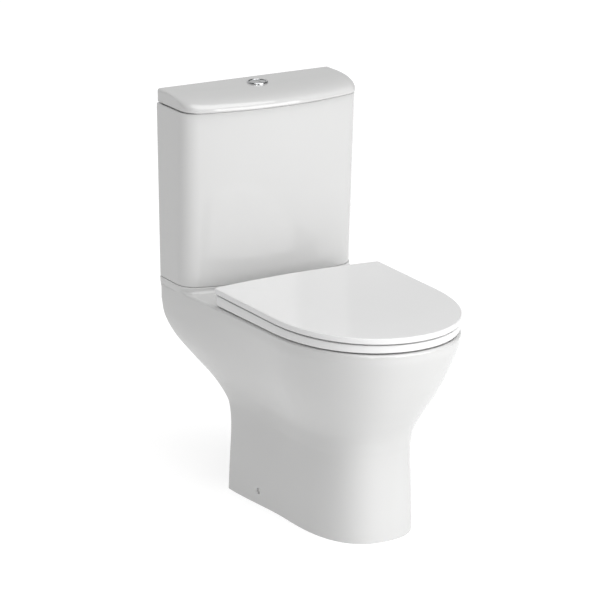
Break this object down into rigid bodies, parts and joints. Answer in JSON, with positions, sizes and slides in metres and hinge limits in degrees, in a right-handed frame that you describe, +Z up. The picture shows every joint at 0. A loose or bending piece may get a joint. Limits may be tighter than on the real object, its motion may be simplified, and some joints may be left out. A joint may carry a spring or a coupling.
{
  "type": "close coupled toilet",
  "caption": "White close coupled toilet with a flared pan on a hollow foot, a bowed cistern with a dual flush button, and a slim hinged seat and cover.",
  "frame": {"origin": "on the floor, under the middle of the overall box", "axes": "+X to the right seen from the front, +Y towards the wall behind, +Z up"},
  "size_m": [0.3764, 0.644, 0.768],
  "materials": {
    "china": "glossy white glaze",
    "seat_plastic": "glossy white duroplast",
    "chrome": "polished chrome plate",
    "steel": "plain zinc-bright steel",
    "brass": "plain brass",
    "rubber": "matt black rubber",
    "white_plastic": "satin moulded plastic",
    "grey_plastic": "satin moulded plastic",
    "blue_plastic": "satin moulded plastic",
    "soft_pad": "soft translucent white pad"
  },
  "bodies": {
    "pan_and_cistern": {"pan": "china", "cistern": "china", "hinge_post_left": "chrome", "hinge_post_right": "chrome", "flush_valve_body": "white_plastic", "flush_valve_backnut": "white_plastic", "fill_valve_riser": "white_plastic", "fill_valve_backnut": "white_plastic", "hinge_nut_left": "white_plastic", "hinge_nut_right": "white_plastic", "screw_cap_left": "white_plastic", "screw_cap_right": "white_plastic", "flush_valve_head": "blue_plastic", "fill_valve_head": "grey_plastic", "float_lever_pin": "steel", "hinge_pin_left": "steel", "hinge_pin_right": "steel", "hinge_bolt_left": "steel", "hinge_bolt_right": "steel", "coupling_bolt_left": "steel", "coupling_bolt_right": "steel", "coupling_plate_left": "steel", "coupling_plate_right": "steel", "floor_bracket_left": "steel", "floor_bracket_right": "steel", "side_screw_left": "steel", "side_screw_right": "steel", "coupling_wing_nut_left": "brass", "coupling_wing_nut_right": "brass", "flush_valve_washer": "rubber", "doughnut_washer": "rubber", "fill_valve_washer": "rubber", "coupling_washer_left": "rubber", "coupling_washer_right": "rubber", "hinge_washer_left": "rubber", "hinge_washer_right": "rubber"},
    "lid_set": {"cistern_lid": "china", "button_bezel": "chrome", "bezel_nut": "white_plastic", "button_guide": "white_plastic", "full_flush_spring": "steel", "half_flush_spring": "steel"},
    "full_button": {"full_flush_button": "chrome"},
    "half_button": {"half_flush_button": "chrome"},
    "ring": {"seat_ring": "seat_plastic", "ring_buffer_front_left": "soft_pad", "ring_buffer_front_right": "soft_pad", "ring_buffer_back_left": "soft_pad", "ring_buffer_back_right": "soft_pad"},
    "cover": {"seat_cover": "seat_plastic", "cover_buffer_left": "soft_pad", "cover_buffer_right": "soft_pad", "soft_close_damper_left": "grey_plastic", "soft_close_damper_right": "grey_plastic"},
    "float": {"fill_valve_float": "white_plastic"},
    "lever": {"float_lever": "white_plastic"},
    "lift_tube": {"overflow_tube": "white_plastic", "flush_seal": "rubber"}
  },
  "joints": [
    {"name": "lid_lift", "type": "slide", "parent": "pan_and_cistern", "child": "lid_set", "axis": [0, 0, 1], "range_m": [0, 0.12]},
    {"name": "full_flush_press", "type": "slide", "parent": "lid_set", "child": "full_button", "axis": [0, 0, -1], "range_m": [0, 0.012], "stiffness_N_per_m": 300, "springref_m": -0.01},
    {"name": "half_flush_press", "type": "slide", "parent": "lid_set", "child": "half_button", "axis": [0, 0, -1], "range_m": [0, 0.012], "stiffness_N_per_m": 300, "springref_m": -0.01},
    {"name": "flush_lift", "type": "slide", "parent": "pan_and_cistern", "child": "lift_tube", "axis": [0, 0, 1], "range_m": [0, 0.0201]},
    {"name": "seat_hinge", "type": "hinge", "parent": "pan_and_cistern", "child": "ring", "pos_m": [0, 0.118, 0.4139], "axis": [-1, 0, 0], "range_deg": [0, 95]},
    {"name": "cover_hinge", "type": "hinge", "parent": "ring", "child": "cover", "pos_m": [0, 0.118, 0.4139], "axis": [1, 0, 0], "range_deg": [-95, 0]},
    {"name": "float_rise", "type": "slide", "parent": "pan_and_cistern", "child": "float", "axis": [0, 0, 1], "range_m": [0, 0.014]},
    {"name": "lever_turn", "type": "hinge", "parent": "pan_and_cistern", "child": "lever", "pos_m": [-0.126, 0.25, 0.658], "axis": [-1, 0, 0], "range_deg": [0, 20.5]}
  ],
  "couplings": [
    {"joint": "flush_lift", "follows": "full_flush_press", "ratio": 1.6667},
    {"joint": "lever_turn", "follows": "float_rise", "rad_per_m": 25}
  ]
}
